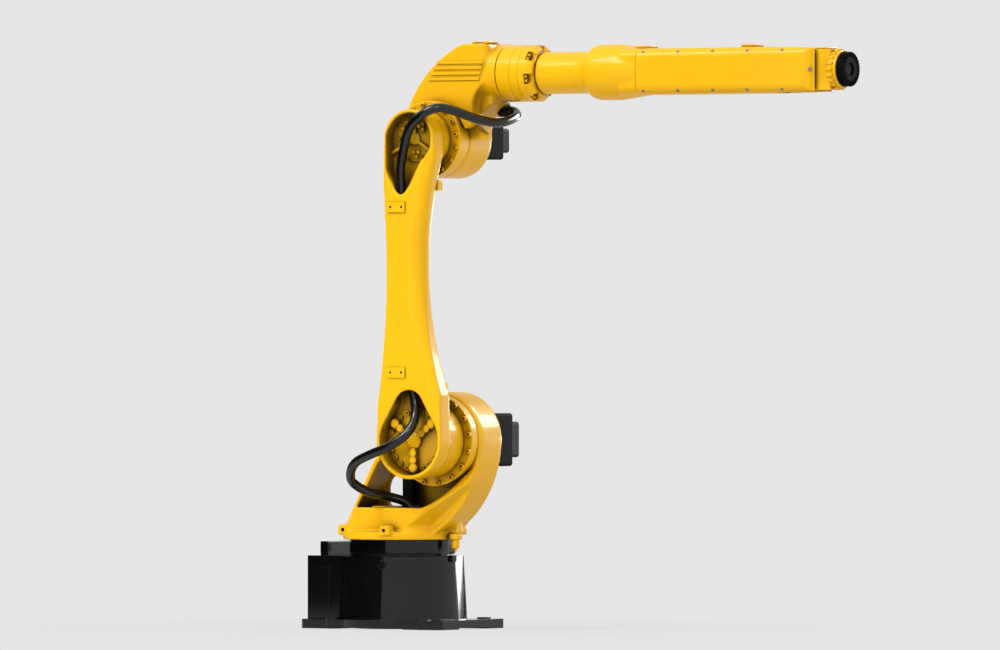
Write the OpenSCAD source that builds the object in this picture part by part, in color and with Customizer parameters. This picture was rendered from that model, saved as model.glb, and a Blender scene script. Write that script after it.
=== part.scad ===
// Six-axis industrial robot arm, bolted to the floor, with the lower arm upright and the forearm level.
// Origin: the main turning axis at the underside of the base. +X reaches forward, +Y is left, +Z is up.

/* [Axes] */
// Forward offset of the shoulder axis from the main turning axis
shoulder_x = 150; // [148:1:152]
// Height of the shoulder axis above the floor
shoulder_z = 462; // [458:1:466]
// Length of the lower arm between the shoulder and elbow axes
arm_l = 735; // [730:1:740]
// Height of the forearm's roll axis above the elbow axis
roll_rise = 160; // [158:1:162]
// Distance forward from the elbow axis to the wrist's bend axis
forearm_l = 1024; // [1018:1:1030]
// Distance from the wrist's bend axis to the tool flange's face
flange_l = 114; // [112:1:118]

/* [Base] */
// Length of the base plate along X
plate_l = 414; // [410:1:420]
// Width of the base plate along Y
plate_w = 294; // [290:1:298]
// Thickness of the base plate
plate_t = 23; // [20:1:26]
// Corner chamfer of the base plate
plate_chamfer = 16; // [12:1:20]
// Height of the arches between the feet
arch_h = 4; // [2:0.5:6]
// Radius of the disc that the drum stands on
disc_r = 166; // [162:1:170]
// Radius of the drum at its foot
drum_foot_r = 159; // [156:1:161]
// Radius of the drum at its top
drum_top_r = 150; // [148:1:151]
// Height of the drum's top above the floor
drum_z = 178; // [174:1:180]
// Distance between the foundation bolts along X
bolt_dx = 266; // [262:1:270]
// Distance between the foundation bolts along Y
bolt_dy = 272; // [268:1:276]
// Forward offset of the foundation bolts' centre
bolt_x = 17; // [14:1:20]
// Radius of the foundation bolt holes
bolt_r = 9; // [8:0.5:10]
// Radius of the bosses round the foundation bolt holes
boss_r = 18; // [16:1:20]
// Half width of the cable box behind the drum
box_hw = 110; // [104:1:114]

/* [Turret] */
// Height of the turret's underside above the floor
turret_z = 218; // [216:1:220]
// Radius of the turret's round foot
foot_r = 144; // [142:1:144]
// Thickness of the turret's round foot
foot_h = 20; // [18:1:22]
// Height of the open tub's rim above the turret's underside
tub_h = 79; // [76:1:82]
// Radius of the tub at its rim
tub_r = 122; // [120:1:124]
// Distance of the tub's flat near wall from the main axis
near_wall = 112; // [110:1:114]
// Radius that the tub flares to at its rim, towards the swept front
flare_r = 190; // [186:1:194]
// Near face of the shoulder drum
drum_near_y = -62; // [-64:1:-60]
// Far face of the shoulder drum
drum_far_y = 38; // [36:1:40]
// Radius of the shoulder drum
shoulder_r = 118; // [116:1:120]
// Radius of the turret's swept front
sweep_r = 262; // [258:1:266]
// Radius of the swept front's inner side
inner_r = 213; // [210:1:216]
// Distance of the turret's rear edge behind the main axis
turret_rear = 136; // [134:1:138]
// Wall thickness of the turret casting
turret_wall = 15; // [13:1:17]

/* [Lower arm] */
// Near face of the lower arm
arm_near_y = -203; // [-205:1:-201]
// Thickness of the lower arm
arm_t = 48; // [47:1:50]
// Radius of the shoulder hub
shoulder_hub_r = 94; // [93:1:96]
// Radius of the elbow hub
elbow_hub_r = 72; // [71:1:74]
// Radius of the waist curve on the front edge
front_waist_r = 900; // [880:10:920]
// Radius of the waist curve on the rear edge
rear_waist_r = 2000; // [1950:10:2050]
// Width of the lower arm at its waist
waist_w = 97; // [95:1:99]
// Radius of the round along the front edge
front_round = 40; // [36:1:44]
// Depth of the pockets in the near face
pocket_d = 40; // [39:1:41]

/* [Elbow] */
// Half width of the elbow casting
elbow_hw = 72; // [71:1:74]
// Radius of the elbow drum
elbow_r = 95; // [94:1:96]
// Far face of the elbow drum
elbow_far_y = 28; // [26:1:30]
// Radius of the elbow's curved back
back_r = 295; // [292:1:298]
// Radius of the forearm's roll bearing housing
roll_r = 69; // [68:1:70]
// Distance from the elbow axis to the roll joint
roll_joint_l = 166; // [165:1:168]

/* [Forearm] */
// Radius of the forearm's tube
tube_r = 51.5; // [50:0.5:53]
// Half height of the forearm's box
box_hh = 56; // [55:0.5:57]
// Half width of the forearm's box
forearm_hw = 56; // [55:0.5:57]
// Corner radius of the forearm's box
forearm_round = 24; // [22:1:26]
// Half width of the slot that holds the wrist
slot_hw = 38; // [37.5:0.5:39]

/* [Wrist] */
// Radius of the wrist's bolt ring
wrist_ring_r = 50; // [49:0.5:50.5]
// Radius of the tool flange
flange_r = 42; // [40:0.5:44]
// Thickness of the tool flange
flange_t = 16; // [14:0.5:18]
// Bolt circle diameter of the tool flange
tool_pcd = 50; // [48:1:52]
// Radius of the tool flange's tapped holes
tool_hole_r = 2.5; // [2:0.1:3]
// Radius of the tool flange's pilot bore
pilot_r = 15.75; // [15.5:0.05:16]

/* [Motors and hoses] */
// Width across the shoulder motor's body
shoulder_motor_w = 130; // [126:1:134]
// Width across the elbow motor's body
elbow_motor_w = 95; // [92:1:96]
// Radius of the cable hoses
hose_r = 11.5; // [11:0.5:12]

/* [Hidden] */
$fn = 72;

paint = "gold";
black = [0.07, 0.07, 0.07];
dark = [0.2, 0.2, 0.2];

// Axes worked out from the driving dimensions
elbow_z = shoulder_z + arm_l;
roll_z = elbow_z + roll_rise;
bend_x = shoulder_x + forearm_l;
tool_x = bend_x + flange_l;
roll_joint_x = shoulder_x + roll_joint_l;

// Running gap at a turning joint, fit of a seated piece, and how far a cut runs past its face
run_gap = 0.5;
fit_gap = 0.1;
over = 2;

// Base
boss_h = 3;
foot_pad_l = 110;
foot_pad_w = 100;
centre_pad_r = 120;
foot_pad_in = 35;
ring_groove = 3;
ring_groove_h = 6;
connector_l = 24;
connector_hw = 55;
connector_h = 34;
socket_w = 26;
socket_h = 20;
socket_d = 5;
socket_pitch = 34;
cover_inset = 17;
cover_x = cover_inset - plate_l / 2;
cover_l = 50;
cover_z = 53;
cover_h = 97;
cover_t = 3;
plug_r = 11;
plug_in = 140;
plug_out = 155;
plug_z = 158;
plug_turn = -76;
ring_r = 130;
zero_x = 146;
zero_l = 12;
zero_w = 20;
zero_z = 164;
zero_h = 17;

// Turret
drum_skin = 1;
sweep_x = shoulder_x + shoulder_r - drum_skin - sweep_r;
rear_foot = [-turret_rear, turret_z + foot_h];
rear_knee_dx = 200;
rear_knee_drop = 56;
rear_knee = [shoulder_x - rear_knee_dx, shoulder_z - rear_knee_drop];
rear_leg = (rear_knee - rear_foot) / norm(rear_knee - rear_foot);
rear_span = [shoulder_x, shoulder_z] - rear_knee;
rear_lean = atan2(rear_span.y, rear_span.x) + asin((shoulder_r - drum_skin) / norm(rear_span));
rear_run = [cos(rear_lean), sin(rear_lean)];
rear_touch = rear_knee + sqrt(rear_span * rear_span - pow(shoulder_r - drum_skin, 2)) * rear_run;
leg_in = turret_wall * [rear_leg.y, -rear_leg.x];
rear_in = turret_wall * [rear_run.y, -rear_run.x];
tub_wall = 14;
flare_foot_r = 124;
inner_dx = 99;
inner_rise = 35;
inner_x = shoulder_x - inner_dx;
inner_z = shoulder_z + inner_rise;
fin_top = 110;
tub_floor_z = turret_z + foot_h + 4;
tub_z = turret_z + foot_h;
rim_z = turret_z + tub_h;
drum_step = 3;
drum_rim = 12;
window_r = 29;
window_x = -26;
window_z = 348;
window_foot_z = 300;
lug_l = 30;
lug_w = 26;
lug_h = 25;
lug_z = 229;
lug_hole_r = 4;
lug_out = 140;
lug_turns = [-145, -73, 32, 73];
reducer_r = 112;
reducer_y = -89;
reducer_gap = 4;
turn_motor_w = 32;
turn_motor_x = 26;
turn_motor_y = -5;
turn_motor_z = 375;
motor_seat_r = 26;
motor_plate_r = 44;
motor_plate_x = -5;
motor_plate_y = -48;
motor_plate_z = 300;
pin_x = 160;
pin_y = -8;
pin_boss_l = 30;
pin_boss_w = 26;
pin_boss_z0 = 234;
pin_boss_z1 = 292;
pin_flange_w = 34;
pin_flange_z = 219;
pin_r = 11;
pin_z = 197;
pin_tip_r = 4;
pin_tip_z = 189;
motor_corner = 8;
shoulder_motor_y = 166;
encoder_w = 88;
encoder_y = 228;
elbow_motor_y = 152;
elbow_encoder_w = 60;
elbow_encoder_y = 205;

// Lower arm
arm_far_y = arm_near_y + arm_t;
waist_front_dx = 32;
waist_front_share = 0.582;
waist_rear_share = 0.555;
waist_front_x = shoulder_x + waist_front_dx;
waist_front_z = shoulder_z + waist_front_share * arm_l;
waist_rear_z = shoulder_z + waist_rear_share * arm_l;
round_path_r = 700;
round_skin = 1;
slot_skin = 0.4;
pocket_y = arm_near_y + pocket_d;
shoulder_pocket_r = 84;
shoulder_pocket_tip_r = 42;
shoulder_pocket_tip = 81;
elbow_pocket_r = 63;
leaf_rear_r = 134.5;
leaf_rear = [62, -32];
leaf_front_r = 481.5;
leaf_front = [-387, 179];
leaf_top = 25;
leaf_left = 66;
shoulder_boss_r = 90;
elbow_boss_r = 68;
elbow_reducer_r = 94;
elbow_reducer_y = -116;
channel_rear = 46;
channel_front = 18;
channel_rise = 81;
channel_drop = 97;
channel_wall = 8;
hub_plate_t = 5;
shoulder_rib_t = 22;
elbow_rib_t = 15;
rib_w = 12;
rib_boss_r = 11;
shoulder_plate_r = 80;
shoulder_rib_r = 68;
elbow_plate_r = 56;
elbow_rib_r = 42;
rib_turns = [-90, 38, 142];
pad_l = 52;
pad_h = 26;
pad_t = 4;
pad_hole_r = 3;
pad_hole_gap = 32;
pad_back = 34;
pad_from_hub = 166;
pad_x = shoulder_x - pad_back;
stop_l = 22;
stop_w = 20;
stop_h = 26;
shoulder_stop_dx = 62;
shoulder_stop_rise = 128;
elbow_stop_dx = 46;
elbow_stop_drop = 113;

// Elbow
back_dx = 183;
back_drop = 40;
top_flat = 22;
back_x = shoulder_x + back_dx;
back_z = elbow_z - back_drop;
elbow_top_z = back_z + back_r - top_flat;
neck_dx = 140;
neck_x = shoulder_x + neck_dx;
housing_l = 70;
blend_r = 76;
blend = [172, 15];
scoop_r = 71;
scoop = [170, 76];
core_hw = 45;
neck_round = 22;
motor_clear = 8;
louvre_rear = 26;
louvre_front = 122;
louvre_pitch = 13.5;
louvre_h = 8;
louvre_out = 3;
louvre_rows = 4;
louvre_rise = 143;
louvre_step = 8;
back_cover_t = 6;
back_cover_hw = 62;
back_cover_turns = [116, 135, 153];
top_lug_w = 15;
top_lug_l = 48;
top_lug_h = 6;
top_lug_y = -36;
top_lug_dxs = [100, 131];
bracket_dx = 78;
bracket_l = 56;
bracket_h = 36;
bracket_rise = 25;
bracket_slope = 22;
bracket_tilt = 18;
bracket_w = 32;
gland_r = 16;
upper_gland_dx = 112;
upper_gland_l = 24;
upper_gland_y = 38;
upper_gland_rise = 71;
gland_foot_l = 28;
gland_foot_w = 26;
gland_foot_y = -46;
gland_foot_z = 301;
gland_gap = 1;
seal_r = 66;
seal_t = 2;

// Forearm
flange_x1 = 404;
flange_end_x = 416;
flange_end_r = 60;
scallop_x = 396;
scallop_r = 13;
scallop_out = 66;
scallops = 7;
bell_r = 68;
bell_x = 540;
bell_rise_l = 50;
bell_flat_l = 49;
bell_fall_l = 135;
bell_end_r = 50;
bell_rise_shares = [[0, 0], [0.3, 0.15], [0.44, 0.5], [0.56, 0.78], [0.76, 0.96], [1, 1]];
box_x = 660;
nose_round = 44;
nose_x = 47;
nose_r = 66;
slot_r = 97;
bearing_r = 30;
taper_x = 1074;
taper = 6;
side_cover_x0 = 712;
side_cover_t = 10;
top_pad_w = 40;
top_pad_h = 7;
rear_pad_x = 710;
front_pad_x = 1011;

// Wrist
wrist_hw = 32;
wrist_r = 48;
wrist_hh = 49;
wrist_face = 75;
top_plate_x0 = 30;
top_plate_x1 = 64;
top_plate_hw = 20;
top_plate_t = 4;
pilot_d = 8;
cap_r = 20;
tool_hole_d = 10;
tool_holes = 4;

// Hose routes, from the gland on the turret into the lower arm, and from the lower arm to the elbow
lower_route = [
  [62, -46, 289], [44, -58, 311], [19, -86, 323], [-5, -140, 334], [-20, -188, 358], [-10, -215, 383],
  [17, -232, 409], [68, -243, 429], [114, -245, 445], [152, -232, 469], [166, -212, 496],
  [164, -192, 524], [154, -181, 560], [146, -180, 600], [142, -180, 640]
];
upper_route = [
  [124, -180, 1030], [119, -184, 1074], [120, -190, 1122], [134, -199, 1170], [160, -213, 1220],
  [200, -220, 1254], [237, -205, 1271], [264, -170, 1264], [290, -130, 1248], [314, -85, 1237],
  [322, -60, 1237], [327, -35, 1240], [326, 8, 1252], [308, 32, 1264], [286, 38, 1268]
];
hose_sides = 10;

// Vector helpers for the hoses
function unit(v) = v / norm(v);
function last(list) = len(list) - 1;
function heading(path, i) = unit(path[min(i + 1, last(path))] - path[max(i - 1, 0)]);
function square_to(v, t) = unit(v - (v * t) * t);
function side_at(path, i) = i == 0
  ? square_to([1, 0, 1], heading(path, 0))
  : square_to(side_at(path, i - 1), heading(path, i));
function ring_at(path, i, r) =
  let (t = heading(path, i), n = side_at(path, i), b = cross(t, n))
  [for (k = [0 : hose_sides - 1]) let (a = 360 * k / hose_sides) path[i] + r * (cos(a) * n + sin(a) * b)];

// A hose swept along the points of its route
module hose(path, r) {
  points = [for (i = [0 : last(path)]) each ring_at(path, i, r)];
  walls = [for (i = [0 : last(path) - 1], k = [0 : hose_sides - 1])
    let (a = i * hose_sides, c = (k + 1) % hose_sides)
    [a + k, a + hose_sides + k, a + hose_sides + c, a + c]];
  foot = [for (k = [0 : hose_sides - 1]) k];
  head = [for (k = [hose_sides - 1 : -1 : 0]) last(path) * hose_sides + k];
  polyhedron(points, concat(walls, [foot, head]));
}

// Extrude an outline drawn in X and Z between two planes across Y
module across(y0, y1) {
  translate([0, y1, 0]) rotate([90, 0, 0]) linear_extrude(y1 - y0) children();
}

// Extrude an outline drawn in Y and Z between two planes along X
module along(x0, x1) {
  translate([x0, 0, 0]) rotate([90, 0, 90]) linear_extrude(x1 - x0) children();
}

// A round bar across Y
module bar_y(x, z, r, y0, y1) {
  translate([x, y1, z]) rotate([90, 0, 0]) cylinder(h = y1 - y0, r = r);
}

// A round bar along X on the roll axis
module bar_x(r, x0, x1) {
  translate([x0, 0, roll_z]) rotate([0, 90, 0]) cylinder(h = x1 - x0, r = r);
}

// A block given by its two opposite corners
module block(a, b) {
  translate(a) cube(b - a);
}

// Two circles joined by sides that run just inside their common tangents, the second one above the first
module tapered_slot(r1, r2, d) {
  lean = asin((r1 - r2) / d);
  low = r1 - slot_skin;
  high = r2 - slot_skin;
  circle(r1);
  translate([0, d]) circle(r2);
  polygon([
    [-low * cos(lean), low * sin(lean)], [low * cos(lean), low * sin(lean)],
    [high * cos(lean), d + high * sin(lean)], [-high * cos(lean), d + high * sin(lean)]
  ]);
}

// A rectangle with round corners, about its centre
module round_rect(w, h, r) {
  square([w - 2 * r, h], center = true);
  square([w, h - 2 * r], center = true);
  for (x = [-1, 1], y = [-1, 1]) translate([x * (w / 2 - r), y * (h / 2 - r)]) circle(r);
}

// A square motor body on a joint's axis, running away from the drum that it drives
module motor_body(z, w, y0, y1) {
  across(y0, y1) translate([shoulder_x, z]) round_rect(w, w, motor_corner);
}

// The four foundation bolt places
module at_bolts() {
  for (x = [-1, 1], y = [-1, 1]) translate([bolt_x + x * bolt_dx / 2, y * bolt_dy / 2, 0]) children();
}

module plate_outline() {
  square([plate_l - 2 * plate_chamfer, plate_w], center = true);
  square([plate_l, plate_w - 2 * plate_chamfer], center = true);
  for (x = [-1, 1], y = [-1, 1])
    translate([x * (plate_l / 2 - plate_chamfer), y * (plate_w / 2 - plate_chamfer)])
      circle(plate_chamfer);
}

// What the base stands on: a centre pad and four corner pads
module foot_pads() {
  circle(centre_pad_r);
  for (x = [-1, 1], y = [-1, 1])
    translate([x * (plate_l - foot_pad_l) / 2, y * (plate_w / 2 - foot_pad_in)])
      square([foot_pad_l, foot_pad_w], center = true);
}

module plug_shape(r) {
  rotate([0, 0, plug_turn]) translate([plug_in, 0, plug_z]) rotate([0, 90, 0])
    cylinder(h = plug_out - plug_in, r = r);
}

module zero_shape(gap) {
  block([zero_x - gap, -zero_w / 2 + pin_y - gap, zero_z - gap],
    [zero_x + zero_l, zero_w / 2 + pin_y + gap, zero_z + zero_h]);
}

module base_casting() {
  color(black) difference() {
    union() {
      linear_extrude(plate_t) plate_outline();
      cylinder(h = plate_t, r = disc_r);
      translate([0, 0, plate_t]) cylinder(h = drum_z - plate_t, r1 = drum_foot_r, r2 = drum_top_r);
      block([-plate_l / 2, -box_hw, arch_h], [0, box_hw, drum_z]);
      at_bolts() cylinder(h = plate_t + boss_h, r = boss_r);
    }
    at_bolts() translate([0, 0, -over]) cylinder(h = plate_t + boss_h + 2 * over, r = bolt_r);
    translate([0, 0, -over]) linear_extrude(arch_h + over) difference() {
      square(2 * plate_l, center = true);
      foot_pads();
    }
    plug_shape(plug_r);
    zero_shape(0);
  }
}

module cable_box_cover() {
  color(black) block([cover_x, -box_hw - cover_t, cover_z], [cover_x + cover_l, -box_hw, cover_z + cover_h]);
}

module connector_block() {
  color(black) difference() {
    block([-plate_l / 2, -connector_hw, drum_z],
      [-plate_l / 2 + connector_l, connector_hw, drum_z + connector_h]);
    for (i = [-1, 0, 1])
      translate([-plate_l / 2, i * socket_pitch, drum_z + connector_h / 2])
        cube([2 * socket_d, socket_w, socket_h], center = true);
  }
}

module bearing_ring() {
  color(black) {
    translate([0, 0, drum_z]) cylinder(h = ring_groove_h, r = ring_r - ring_groove);
    translate([0, 0, drum_z + ring_groove_h])
      cylinder(h = turret_z - run_gap - drum_z - ring_groove_h, r = ring_r);
  }
}

module drum_plug() {
  color(dark) plug_shape(plug_r - fit_gap);
}

module zero_block() {
  color(black) zero_shape(0);
}

// The turret from the side: a leaning rear edge that runs up to the drum, and a swept front
module turret_outline() {
  intersection() {
    union() {
      translate([sweep_x, shoulder_z]) circle(sweep_r);
      translate([-turret_rear, turret_z]) square([turret_rear + sweep_x, sweep_r]);
    }
    polygon([
      [-turret_rear, turret_z], rear_foot, rear_knee, rear_touch, [shoulder_x, shoulder_z],
      [sweep_x + sweep_r, shoulder_z], [sweep_x + sweep_r, turret_z]
    ]);
  }
}

// The hollow that opens on the near side under the drum
module turret_hollow() {
  difference() {
    intersection() {
      union() {
        translate([inner_x, inner_z]) circle(inner_r);
        translate([-turret_rear, tub_floor_z]) square([turret_rear + inner_x, inner_r]);
      }
      polygon([
        [rear_foot.x + leg_in.x, tub_floor_z], rear_knee + leg_in, rear_touch + rear_in,
        [shoulder_x, shoulder_z], [sweep_x + sweep_r, shoulder_z], [sweep_x + sweep_r, tub_floor_z]
      ]);
    }
    translate([shoulder_x, shoulder_z]) circle(shoulder_r - drum_skin);
  }
}

// The cone that the tub's near corner and the fin above it flare out along
module flare_cone(inset) {
  slope = (flare_r - flare_foot_r) / (rim_z - tub_z);
  rise = shoulder_z - tub_z;
  foot = flare_foot_r - inset;
  translate([0, 0, tub_z]) cylinder(h = rise, r1 = foot, r2 = foot + slope * rise);
}

// The round tub with its flat near wall and the corner that runs out to the swept front
module tub_form(inset, z0, z1) {
  intersection() {
    union() {
      translate([0, 0, tub_z]) cylinder(h = rim_z - tub_z, r1 = foot_r - inset, r2 = tub_r - inset);
      intersection() {
        flare_cone(inset);
        block([0, -near_wall, tub_z], [flare_r, drum_near_y + inset, rim_z]);
      }
    }
    block([-foot_r, -near_wall + inset, z0], [flare_r, foot_r, z1]);
  }
}

// The fin that carries the swept front's edge from the near wall up to the drum
module front_fin() {
  lean = atan2(fin_top, near_wall + drum_near_y);
  difference() {
    intersection() {
      across(-near_wall, drum_near_y) difference() {
        intersection() {
          translate([sweep_x, shoulder_z]) circle(sweep_r);
          translate([inner_x, tub_z]) square([sweep_r, shoulder_z - tub_z]);
        }
        translate([inner_x, inner_z]) circle(inner_r);
      }
      flare_cone(0);
    }
    translate([0, -near_wall, rim_z]) rotate([lean, 0, 0])
      block([0, -sweep_r, 0], [2 * sweep_r, 2 * sweep_r, sweep_r]);
    bar_y(shoulder_x, shoulder_z, reducer_r + reducer_gap, -2 * near_wall, drum_near_y);
  }
}

// The foot of the lower gland on the tub's floor, with a clearance around it
module gland_foot(gap) {
  x = lower_route[0].x;
  half = gland_foot_w / 2 + gap;
  block([x - gap, gland_foot_y - half, tub_floor_z],
    [x + gland_foot_l + gap, gland_foot_y + half, gland_foot_z + gap]);
}

module turret_casting() {
  hollow_y = drum_far_y - turret_wall;
  color(paint) difference() {
    union() {
      translate([0, 0, turret_z]) cylinder(h = foot_h, r = foot_r);
      tub_form(0, tub_z, rim_z);
      front_fin();
      across(drum_near_y, drum_far_y) turret_outline();
      bar_y(shoulder_x, shoulder_z, shoulder_r, drum_near_y + drum_rim, drum_far_y);
      bar_y(shoulder_x, shoulder_z, shoulder_r - drum_step, drum_near_y, drum_near_y + drum_rim);
      for (turn = lug_turns)
        translate(lug_out * [cos(turn), sin(turn)] - [lug_l, lug_w] / 2) translate([0, 0, lug_z])
          cube([lug_l, lug_w, lug_h]);
      block([pin_x - pin_boss_l, pin_y - pin_boss_w / 2, pin_boss_z0],
        [pin_x + pin_boss_l / 2, pin_y + pin_boss_w / 2, pin_boss_z1]);
    }
    across(drum_near_y - over, hollow_y) turret_hollow();
    gland_foot(gland_gap);
    intersection() {
      tub_form(tub_wall, tub_floor_z, rim_z + over);
      block([-foot_r, -foot_r, tub_floor_z], [flare_r, hollow_y, rim_z + over]);
    }
    across(hollow_y - over, drum_far_y + over) {
      translate([window_x, window_z]) circle(window_r);
      translate([window_x - window_r, window_foot_z]) square([2 * window_r, window_z - window_foot_z]);
    }
    for (turn = lug_turns)
      translate(lug_out * [cos(turn), sin(turn)]) translate([0, 0, lug_z + lug_h / 2]) rotate([90, 0, 0])
        cylinder(h = lug_w + 2 * over, r = lug_hole_r, center = true);
  }
}

module turn_motor() {
  color(black) translate([turn_motor_x, turn_motor_y, motor_plate_z])
    linear_extrude(turn_motor_z - motor_plate_z) round_rect(turn_motor_w, turn_motor_w, motor_corner);
}

module turn_motor_plate() {
  color(paint) translate([0, 0, tub_floor_z]) linear_extrude(motor_plate_z - tub_floor_z) {
    translate([motor_plate_x, motor_plate_y]) circle(motor_plate_r);
    translate([turn_motor_x, turn_motor_y]) circle(motor_seat_r);
  }
}

module shoulder_reducer() {
  color(paint) bar_y(shoulder_x, shoulder_z, reducer_r, reducer_y, drum_near_y);
}

module shoulder_motor() {
  color(black) motor_body(shoulder_z, shoulder_motor_w, drum_far_y, shoulder_motor_y);
}

module shoulder_encoder() {
  color(dark) motor_body(shoulder_z, encoder_w, shoulder_motor_y, encoder_y);
}

module stop_pin() {
  color(paint) translate([pin_x, pin_y, 0]) {
    translate([0, 0, pin_flange_z]) linear_extrude(pin_boss_z0 - pin_flange_z)
      intersection() {
        square([pin_boss_l, pin_flange_w], center = true);
        circle(pin_flange_w / 2);
      }
    translate([0, 0, pin_z]) cylinder(h = pin_flange_z - pin_z, r = pin_r);
    translate([0, 0, pin_tip_z]) cylinder(h = pin_z - pin_tip_z, r = pin_tip_r);
  }
}

module lower_gland() {
  color(black) gland_foot(0);
}

module lower_hose() {
  color(black) hose(lower_route, hose_r);
}

// The lower arm from the side: two hubs joined by a waisted shaft
module arm_outline() {
  translate([shoulder_x, shoulder_z]) circle(shoulder_hub_r);
  translate([shoulder_x, elbow_z]) circle(elbow_hub_r);
  difference() {
    translate([shoulder_x, shoulder_z]) tapered_slot(shoulder_hub_r, elbow_hub_r, arm_l);
    translate([waist_front_x + front_waist_r, waist_front_z]) circle(front_waist_r);
    translate([waist_front_x - waist_w - rear_waist_r, waist_rear_z]) circle(rear_waist_r);
  }
}

// What is cut away to round the front edge, along a path that leaves the edge towards the hubs
module front_edge_cut() {
  translate([waist_front_x + round_path_r, 0, waist_front_z]) rotate([90, 0, 0]) rotate_extrude($fn = 180)
    translate([round_path_r, -arm_near_y]) difference() {
      translate([-front_round, -front_round]) square([2 * front_round, front_round + over]);
      translate([front_round, -front_round]) circle(front_round + round_skin);
      translate([front_round, -2 * front_round]) square([front_round, 3 * front_round]);
    }
}

// The leaf-shaped pocket in the elbow hub
module elbow_pocket() {
  circle(elbow_pocket_r);
  intersection() {
    translate(leaf_rear) circle(leaf_rear_r);
    translate(leaf_front) circle(leaf_front_r);
    polygon([
      [-leaf_left, leaf_top], [0, leaf_top], [elbow_pocket_r, 0], [leaf_rear_r, 0],
      [leaf_rear_r, -2 * leaf_rear_r], [-leaf_left, -2 * leaf_rear_r]
    ]);
  }
}

module lower_arm() {
  color(paint) difference() {
    union() {
      across(arm_near_y, arm_far_y) arm_outline();
      bar_y(shoulder_x, shoulder_z, shoulder_boss_r, arm_far_y, reducer_y - run_gap);
      bar_y(shoulder_x, elbow_z, elbow_boss_r, arm_far_y, elbow_reducer_y - run_gap);
    }
    across(arm_near_y - over, pocket_y) {
      translate([shoulder_x, shoulder_z])
        tapered_slot(shoulder_pocket_r, shoulder_pocket_tip_r, shoulder_pocket_tip);
      translate([shoulder_x, elbow_z]) elbow_pocket();
    }
    block([shoulder_x - channel_rear, arm_near_y + channel_wall, shoulder_z + channel_rise],
      [shoulder_x + channel_front, pocket_y, elbow_z - channel_drop]);
    front_edge_cut();
  }
}

// A round plate on a pocket's floor with three ribs and a boss at the end of each
module hub_plate(z, r, rib_r, rib_t) {
  across(pocket_y - hub_plate_t, pocket_y) translate([shoulder_x, z]) circle(r);
  across(pocket_y - rib_t, pocket_y - hub_plate_t) translate([shoulder_x, z]) {
    circle(rib_boss_r);
    for (turn = rib_turns) rotate(turn) {
      translate([0, -rib_w / 2]) square([rib_r, rib_w]);
      translate([rib_r, 0]) circle(rib_boss_r);
    }
  }
}

module shoulder_hub_plate() {
  color(paint) hub_plate(shoulder_z, shoulder_plate_r, shoulder_rib_r, shoulder_rib_t);
}

module elbow_hub_plate() {
  color(paint) hub_plate(elbow_z, elbow_plate_r, elbow_rib_r, elbow_rib_t);
}

// A cable clamp pad with two tapped holes on the near face
module cable_pad(z) {
  color(paint) difference() {
    block([pad_x - pad_l / 2, arm_near_y - pad_t, z - pad_h / 2],
      [pad_x + pad_l / 2, arm_near_y, z + pad_h / 2]);
    for (side = [-1, 1])
      bar_y(pad_x + side * pad_hole_gap / 2, z, pad_hole_r, arm_near_y - pad_t - over, arm_near_y);
  }
}

module lower_cable_pad() {
  cable_pad(shoulder_z + pad_from_hub);
}

module upper_cable_pad() {
  cable_pad(elbow_z - pad_from_hub);
}

// A stop lug on the far face of the lower arm
module stop_lug(x, z) {
  color(paint) translate([x - stop_l / 2, arm_far_y, z - stop_h / 2]) cube([stop_l, stop_w, stop_h]);
}

module shoulder_stop() {
  stop_lug(shoulder_x + shoulder_stop_dx, shoulder_z + shoulder_stop_rise);
}

module elbow_stop() {
  stop_lug(shoulder_x + elbow_stop_dx, elbow_z - elbow_stop_drop);
}

// The elbow from the side: a curved back, a flat top and a hollow under the roll housing
module elbow_outline(hollow, hollow_r) {
  rear_x = shoulder_x - elbow_r;
  difference() {
    intersection() {
      translate([back_x, back_z]) circle(back_r);
      translate([rear_x, elbow_z]) square([neck_x - rear_x, elbow_top_z - elbow_z]);
    }
    translate([shoulder_x, elbow_z] + hollow) circle(hollow_r);
  }
}

// The part of an outline that clears the elbow motor
module above_motor() {
  motor_top_z = elbow_z + elbow_motor_w / 2 + motor_clear;
  intersection() {
    children();
    translate([0, motor_top_z]) square([neck_x, elbow_top_z - motor_top_z]);
  }
}

module back_cover_outline() {
  reach = 2 * back_r;
  translate([back_x, back_z]) intersection() {
    difference() {
      circle(back_r);
      circle(back_r - back_cover_t);
    }
    polygon(concat([[0, 0]], [for (a = back_cover_turns) reach * [cos(a), sin(a)]]));
  }
}

module upper_gland_shape(r) {
  translate([shoulder_x + upper_gland_dx, upper_gland_y, elbow_z + upper_gland_rise]) rotate([0, 90, 0])
    cylinder(h = upper_gland_l, r = r);
}

// The elbow's body, with its front corners rounded towards the roll housing
module elbow_body() {
  difference() {
    union() {
      across(-elbow_hw, -core_hw) elbow_outline(scoop, scoop_r);
      across(-core_hw, elbow_far_y) elbow_outline(blend, blend_r);
      across(elbow_far_y, core_hw) above_motor() elbow_outline(blend, blend_r);
      across(core_hw, elbow_hw) above_motor() elbow_outline(scoop, scoop_r);
    }
    for (side = [-1, 1])
      translate([neck_x - neck_round, side * (elbow_hw - neck_round), elbow_z]) linear_extrude(back_r)
        difference() {
          translate([0, side > 0 ? 0 : -2 * neck_round]) square(2 * neck_round);
          circle(neck_round);
        }
  }
}

module elbow_casting() {
  housing_end = roll_joint_x - run_gap - seal_t;
  color(paint) difference() {
    union() {
      elbow_body();
      bar_y(shoulder_x, elbow_z, elbow_r, -elbow_hw, elbow_far_y);
      bar_x(roll_r, housing_end - housing_l, housing_end);
    }
    across(-back_cover_hw, back_cover_hw) back_cover_outline();
    upper_gland_shape(gland_r);
  }
}

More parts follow.
